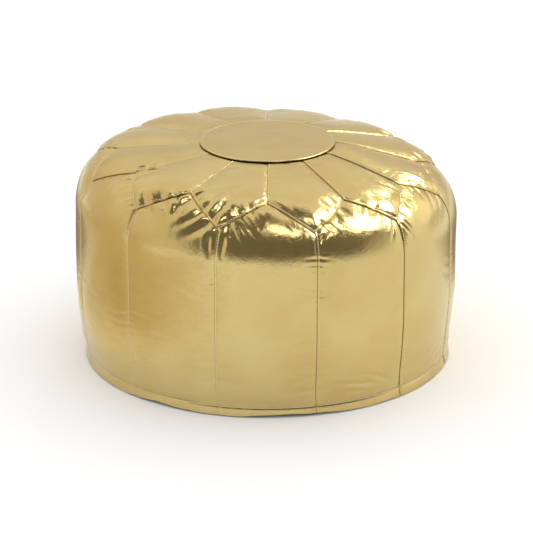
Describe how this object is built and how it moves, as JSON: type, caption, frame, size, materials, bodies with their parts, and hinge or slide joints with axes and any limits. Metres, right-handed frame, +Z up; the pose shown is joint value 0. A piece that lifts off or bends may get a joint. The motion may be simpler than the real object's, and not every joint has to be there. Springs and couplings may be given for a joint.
{
  "type": "floor pouf",
  "caption": "Round stuffed leather floor pouf: a flat disc on petals, a zigzag seam, upright side panels and a zipped cloth base.",
  "frame": {"origin": "centre of the underside, on the floor", "axes": "+Z up, -Y towards the front, +X along the zip towards its closed end"},
  "size_m": [0.612, 0.612, 0.3585],
  "materials": {
    "gold_leather": "metallic gold foil over smooth leather",
    "thread": "twisted beige thread",
    "base_cloth": "matte black woven cloth",
    "zip_tape": "black woven tape",
    "zip_teeth": "moulded black plastic",
    "zip_metal": "satin brass",
    "liner_cloth": "undyed cotton",
    "filling": "white polyester fibre"
  },
  "bodies": {
    "cover": {"crown_disc": "gold_leather", "petal_01": "gold_leather", "petal_02": "gold_leather", "petal_03": "gold_leather", "petal_04": "gold_leather", "petal_05": "gold_leather", "petal_06": "gold_leather", "petal_07": "gold_leather", "petal_08": "gold_leather", "petal_09": "gold_leather", "petal_10": "gold_leather", "petal_11": "gold_leather", "petal_12": "gold_leather", "side_panel_01": "gold_leather", "side_panel_02": "gold_leather", "side_panel_03": "gold_leather", "side_panel_04": "gold_leather", "side_panel_05": "gold_leather", "side_panel_06": "gold_leather", "side_panel_07": "gold_leather", "side_panel_08": "gold_leather", "side_panel_09": "gold_leather", "side_panel_10": "gold_leather", "side_panel_11": "gold_leather", "side_panel_12": "gold_leather", "crown_thread": "thread", "petal_threads": "thread", "point_threads": "thread", "side_threads": "thread", "hem_thread": "thread", "base_panel_front": "base_cloth", "base_panel_rear": "base_cloth", "zip_tape_front": "zip_tape", "zip_tape_rear": "zip_tape", "zip_teeth_front": "zip_teeth", "zip_teeth_rear": "zip_teeth", "zip_top_stops": "zip_metal", "zip_bottom_stop": "zip_metal", "liner_bag": "liner_cloth", "filling": "filling"},
    "slider": {"zip_slider": "zip_metal"},
    "pull": {"zip_pull": "zip_metal"}
  },
  "joints": [
    {"name": "zip_slide", "type": "slide", "parent": "cover", "child": "slider", "axis": [-1, 0, 0], "range_m": [0, 0.323], "deforming": ["zip_teeth_front", "zip_teeth_rear"]},
    {"name": "pull_swing", "type": "hinge", "parent": "slider", "child": "pull", "pos_m": [0.165, 0, 0.0056], "axis": [0, -1, 0], "range_deg": [-8, 150]}
  ]
}
